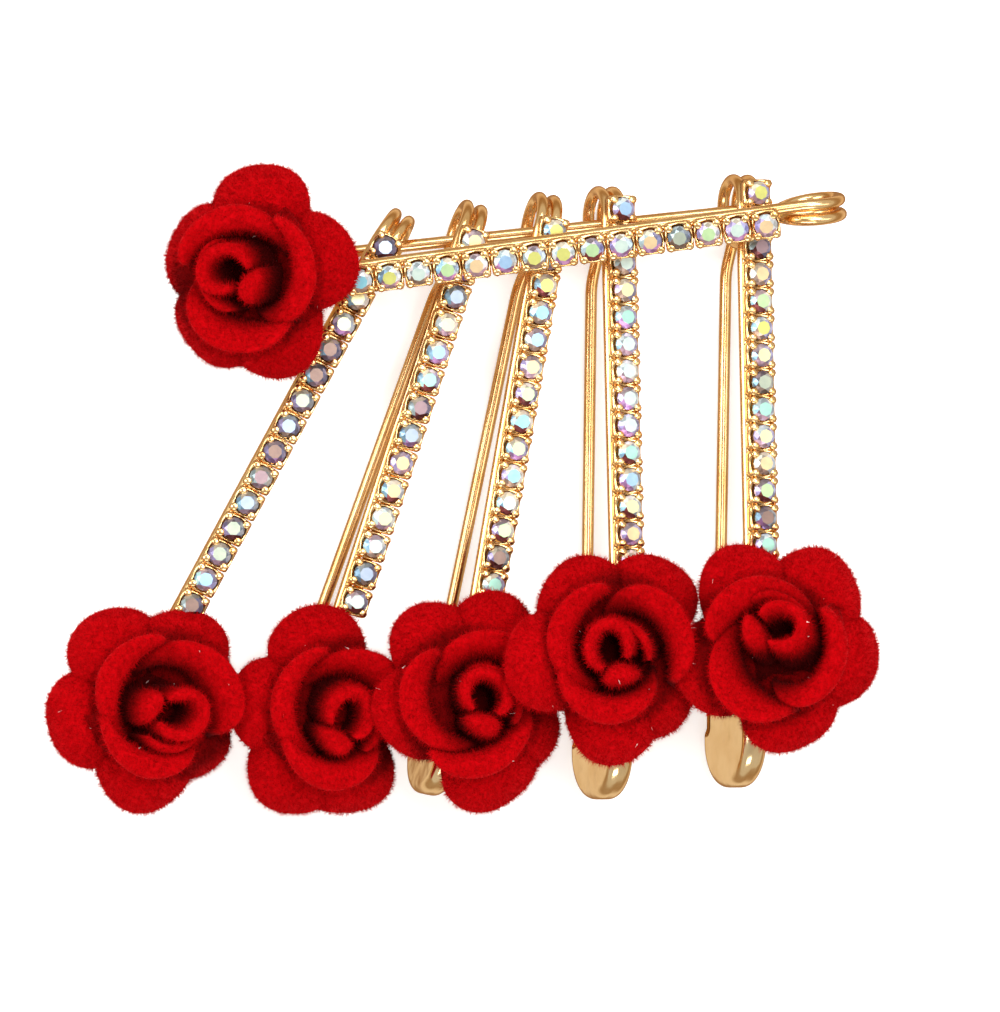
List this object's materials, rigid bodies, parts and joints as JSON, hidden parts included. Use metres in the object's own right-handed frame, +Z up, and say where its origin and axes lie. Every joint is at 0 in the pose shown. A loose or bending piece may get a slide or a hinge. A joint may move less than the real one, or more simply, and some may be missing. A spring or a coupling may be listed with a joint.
{
  "type": "saree pin with fanned rose safety pins",
  "caption": "Saree pin made of a main safety pin with more safety pins fanned from its arm, each with a chain of coated stones and a red flocked rose on its cap.",
  "frame": {"origin": "centre of the bounding box's floor rectangle, on the surface that the pin lies on", "axes": "+Z up from the surface, +X towards the main pin's coil, +Y towards the hanging pins' coils"},
  "size_m": [0.0775, 0.0614, 0.0206],
  "materials": {
    "gold_wire": "bright gold plate on round wire and stamped cups",
    "gold_sheet": "bright gold plate on folded sheet",
    "coated_crystal": "cut glass with an iridescent coating",
    "red_flock": "short red flock fibres on a moulded petal",
    "dark_glue": "dark calyx and glue"
  },
  "bodies": {
    "root": {"wire_main": "gold_wire", "cap_main": "gold_sheet", "stones_main": "coated_crystal", "rose_main": "red_flock", "pad_main": "dark_glue", "wire_hanging_1": "gold_wire", "cap_hanging_1": "gold_sheet", "stones_hanging_1": "coated_crystal", "rose_hanging_1": "red_flock", "pad_hanging_1": "dark_glue", "wire_hanging_2": "gold_wire", "cap_hanging_2": "gold_sheet", "stones_hanging_2": "coated_crystal", "rose_hanging_2": "red_flock", "pad_hanging_2": "dark_glue", "wire_hanging_3": "gold_wire", "cap_hanging_3": "gold_sheet", "stones_hanging_3": "coated_crystal", "rose_hanging_3": "red_flock", "pad_hanging_3": "dark_glue", "wire_hanging_4": "gold_wire", "cap_hanging_4": "gold_sheet", "stones_hanging_4": "coated_crystal", "rose_hanging_4": "red_flock", "pad_hanging_4": "dark_glue", "wire_hanging_5": "gold_wire", "cap_hanging_5": "gold_sheet", "stones_hanging_5": "coated_crystal", "rose_hanging_5": "red_flock", "pad_hanging_5": "dark_glue"}
  },
  "joints": []
}
